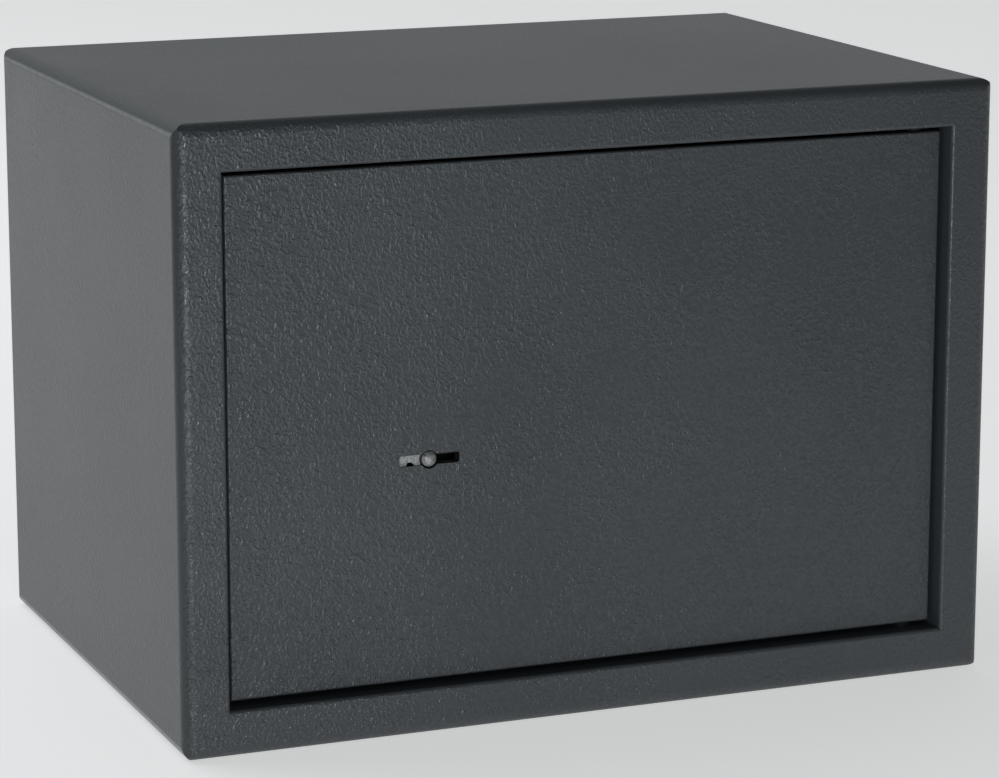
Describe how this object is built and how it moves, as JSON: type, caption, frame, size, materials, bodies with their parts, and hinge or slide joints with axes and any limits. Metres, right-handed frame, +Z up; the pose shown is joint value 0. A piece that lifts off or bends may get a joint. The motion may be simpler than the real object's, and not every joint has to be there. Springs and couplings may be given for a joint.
{
  "type": "key-lock safe",
  "caption": "Small free-standing steel safe with a recessed door on concealed pivots and a key-operated lever lock that throws round bolts behind the frame.",
  "frame": {"origin": "centre of the underside, on the surface it stands on", "axes": "+X to the right seen from the front and along the width, the door faces -Y, +Z up"},
  "size_m": [0.35, 0.25, 0.25],
  "materials": {
    "body_paint": "textured anthracite powder coat",
    "door_paint": "textured anthracite powder coat",
    "inner_paint": "smooth anthracite paint",
    "zinc_plate": "zinc-plated sheet",
    "zinc_casting": "cast zinc, satin",
    "bright_steel": "turned bright steel",
    "spring_steel": "tempered spring steel",
    "lever_brass": "stamped brass",
    "washer_nylon": "black nylon",
    "mat_felt": "needle felt"
  },
  "bodies": {
    "body": {"body_shell": "body_paint", "back_panel": "body_paint", "strike_plate": "body_paint", "door_stops": "body_paint", "hinge_pin_upper": "bright_steel", "hinge_pin_lower": "bright_steel", "hinge_washers": "washer_nylon", "floor_mat": "mat_felt"},
    "door": {"door_plate": "door_paint", "door_rail_left": "inner_paint", "door_rail_right": "inner_paint", "door_rail_top": "inner_paint", "door_rail_bottom": "inner_paint", "hinge_block_upper": "inner_paint", "hinge_block_lower": "inner_paint", "rear_cover": "inner_paint", "cover_screws": "zinc_plate", "lock_case": "zinc_plate", "lock_cover": "zinc_plate", "lock_cover_screws": "bright_steel", "lock_studs": "bright_steel", "lock_nuts": "zinc_plate", "lever_post": "bright_steel", "lever_stop_pin": "bright_steel", "bolt_guide_pin": "bright_steel", "post_spacer": "lever_brass", "lever_spring_1": "spring_steel", "lever_spring_2": "spring_steel", "lever_spring_3": "spring_steel", "lever_spring_4": "spring_steel", "guide_studs": "bright_steel", "guide_clips": "zinc_plate"},
    "boltwork": {"lock_bolt": "zinc_plate", "bolt_bar": "zinc_plate", "locking_bolts": "bright_steel", "bolt_screws": "bright_steel", "carriage_screws": "bright_steel"},
    "rotor": {"key_rotor": "zinc_casting", "key_post": "zinc_casting"},
    "lever_1_body": {"lever_1": "lever_brass"},
    "lever_2_body": {"lever_2": "lever_brass"},
    "lever_3_body": {"lever_3": "lever_brass"},
    "lever_4_body": {"lever_4": "lever_brass"}
  },
  "joints": [
    {"name": "door_swing", "type": "hinge", "parent": "body", "child": "door", "pos_m": [0.1438, -0.113, 0.125], "axis": [0, 0, 1], "range_deg": [0, 105]},
    {"name": "bolt_throw", "type": "slide", "parent": "door", "child": "boltwork", "axis": [-1, 0, 0], "range_m": [0, 0.013]},
    {"name": "key_turn", "type": "hinge", "parent": "door", "child": "rotor", "pos_m": [-0.0705, -0.11, 0.111], "axis": [0, -1, 0], "range_deg": [0, 180]},
    {"name": "lever_1_lift", "type": "hinge", "parent": "door", "child": "lever_1_body", "pos_m": [-0.0465, -0.1093, 0.13], "axis": [0, 1, 0], "range_deg": [0, 2.4], "stiffness_Nm_per_rad": 0.02, "springref_deg": -8.59, "deforming": ["lever_spring_1"]},
    {"name": "lever_2_lift", "type": "hinge", "parent": "door", "child": "lever_2_body", "pos_m": [-0.0465, -0.1071, 0.13], "axis": [0, 1, 0], "range_deg": [0, 2.4], "stiffness_Nm_per_rad": 0.02, "springref_deg": -8.59, "deforming": ["lever_spring_2"]},
    {"name": "lever_3_lift", "type": "hinge", "parent": "door", "child": "lever_3_body", "pos_m": [-0.0465, -0.1049, 0.13], "axis": [0, 1, 0], "range_deg": [0, 2.4], "stiffness_Nm_per_rad": 0.02, "springref_deg": -8.59, "deforming": ["lever_spring_3"]},
    {"name": "lever_4_lift", "type": "hinge", "parent": "door", "child": "lever_4_body", "pos_m": [-0.0465, -0.1027, 0.13], "axis": [0, 1, 0], "range_deg": [0, 2.4], "stiffness_Nm_per_rad": 0.02, "springref_deg": -8.59, "deforming": ["lever_spring_4"]}
  ],
  "couplings": [
    {"joint": "key_turn", "follows": "bolt_throw", "rad_per_m": 241.66}
  ]
}
